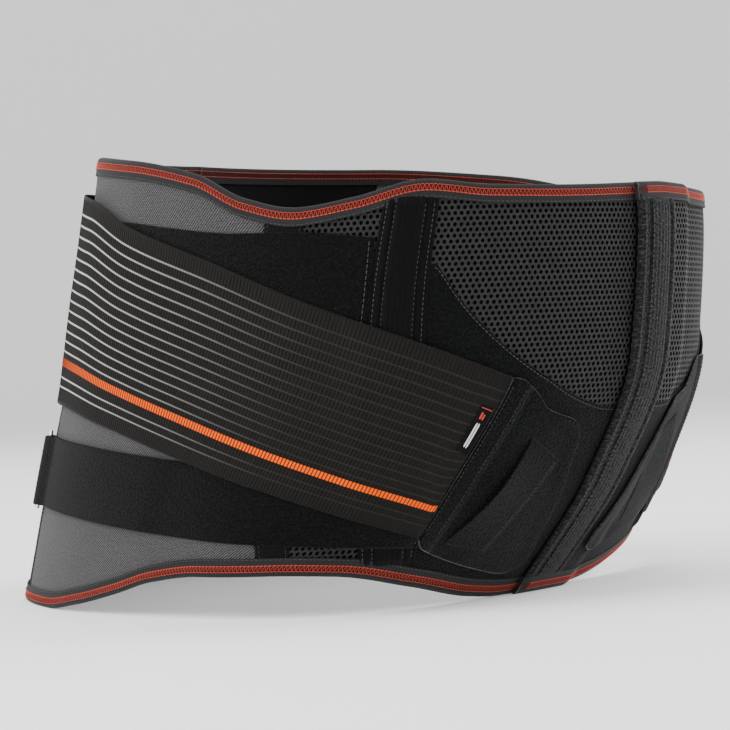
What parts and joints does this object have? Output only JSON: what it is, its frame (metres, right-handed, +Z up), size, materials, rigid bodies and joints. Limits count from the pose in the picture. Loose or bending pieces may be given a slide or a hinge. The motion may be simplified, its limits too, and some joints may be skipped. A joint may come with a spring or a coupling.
{
  "type": "lumbar support belt",
  "caption": "Lumbar support belt for a rounded abdomen: mesh, grey twill and velour panels, steel stays, ribbed elastic side bands with pull tabs, and velour straps on steel rings.",
  "frame": {"origin": "middle of the closed belt in plan, at the level of its lower edge, which it stands on", "axes": "+Z up along the wearer's spine; -Y is the way the wearer faces; +X is the wearer's left"},
  "size_m": [0.385, 0.4623, 0.272],
  "materials": {
    "grey_twill": "brushed twill, mid grey",
    "black_tape": "plain woven black tape",
    "hex_mesh": "open hexagonal spacer mesh",
    "black_velour": "short-pile loop velour",
    "strap_velour": "short-pile loop velour strap",
    "ribbed_elastic": "ribbed woven elastic with pale lines and one orange stripe",
    "edge_binding": "folded elastic edge tape with an orange-red stitch",
    "hook_tape": "moulded hook tape",
    "loop_tape": "brushed loop tape",
    "woven_label": null,
    "pad_cloth": "quilted knit over foam",
    "ring_steel": "nickel plated wire",
    "stay_steel": "bright spring steel"
  },
  "bodies": {
    "back": {"back_panel": "black_tape", "lumbar_pad": "pad_cloth", "binding_top_back": "edge_binding", "binding_bottom_back": "edge_binding", "grey_panel_rear_left": "grey_twill", "upper_strap_rear_left": "strap_velour", "lower_strap_rear_left": "strap_velour", "band_rear_left": "ribbed_elastic", "upper_ring_left": "ring_steel", "upper_ring_loop_left": "black_tape", "lower_ring_loop_left": "black_tape", "back_casing_left": "black_tape", "back_stay_left": "stay_steel", "grey_panel_rear_right": "grey_twill", "upper_strap_rear_right": "strap_velour", "lower_strap_rear_right": "strap_velour", "band_rear_right": "ribbed_elastic", "upper_ring_right": "ring_steel", "upper_ring_loop_right": "black_tape", "lower_ring_loop_right": "black_tape", "back_casing_right": "black_tape", "back_stay_right": "stay_steel"},
    "front_left": {"grey_panel_side_left": "grey_twill", "rear_tape_left": "black_tape", "side_mesh_left": "hex_mesh", "side_casing_left": "black_tape", "side_stay_left": "stay_steel", "front_mesh_left": "hex_mesh", "front_velour_left": "black_velour", "upper_strap_front_left": "strap_velour", "lower_strap_front_left": "strap_velour", "band_front_left": "ribbed_elastic", "binding_top_front_left": "edge_binding", "binding_bottom_front_left": "edge_binding", "centre_casing": "black_tape", "centre_stay": "stay_steel", "closure_hook": "hook_tape"},
    "front_right": {"grey_panel_side_right": "grey_twill", "rear_tape_right": "black_tape", "side_mesh_right": "hex_mesh", "side_casing_right": "black_tape", "side_stay_right": "stay_steel", "front_mesh_right": "hex_mesh", "front_velour_right": "black_velour", "upper_strap_front_right": "strap_velour", "lower_strap_front_right": "strap_velour", "band_front_right": "ribbed_elastic", "binding_top_front_right": "edge_binding", "binding_bottom_front_right": "edge_binding", "closure_loop": "loop_tape", "label": "woven_label"},
    "tab_left": {"pull_tab_left": "black_velour", "hook_patch_left": "hook_tape", "finger_pocket_left": "black_velour"},
    "ring_left": {"lower_ring_left": "ring_steel"},
    "tab_right": {"pull_tab_right": "black_velour", "hook_patch_right": "hook_tape", "finger_pocket_right": "black_velour"},
    "ring_right": {"lower_ring_right": "ring_steel"}
  },
  "joints": [
    {"name": "front_left_open", "type": "hinge", "parent": "back", "child": "front_left", "pos_m": [0.194, -0.038, 0], "axis": [0, 0, 1], "range_deg": [0, 60]},
    {"name": "front_right_open", "type": "hinge", "parent": "back", "child": "front_right", "pos_m": [-0.194, -0.038, 0], "axis": [0, 0, -1], "range_deg": [0, 42]},
    {"name": "tab_left_peel", "type": "hinge", "parent": "front_left", "child": "tab_left", "pos_m": [0.10758, -0.15076, 0.049], "axis": [-0.2042, -0.518, 0.8307], "range_deg": [0, 80]},
    {"name": "tab_right_peel", "type": "hinge", "parent": "front_right", "child": "tab_right", "pos_m": [-0.1224, -0.1387, 0.042], "axis": [-0.1969, 0.5303, -0.8246], "range_deg": [0, 80]},
    {"name": "ring_left_swivel", "type": "hinge", "parent": "back", "child": "ring_left", "pos_m": [0.12636, 0.1604, 0.062], "axis": [0.0406, -0.3628, 0.931], "range_deg": [-4, 4]},
    {"name": "ring_right_swivel", "type": "hinge", "parent": "back", "child": "ring_right", "pos_m": [-0.12636, 0.1604, 0.062], "axis": [-0.0406, -0.3628, 0.931], "range_deg": [-4, 4]}
  ],
  "couplings": [
    {"joint": "front_right_open", "follows": "front_left_open", "ratio": 0.7}
  ]
}
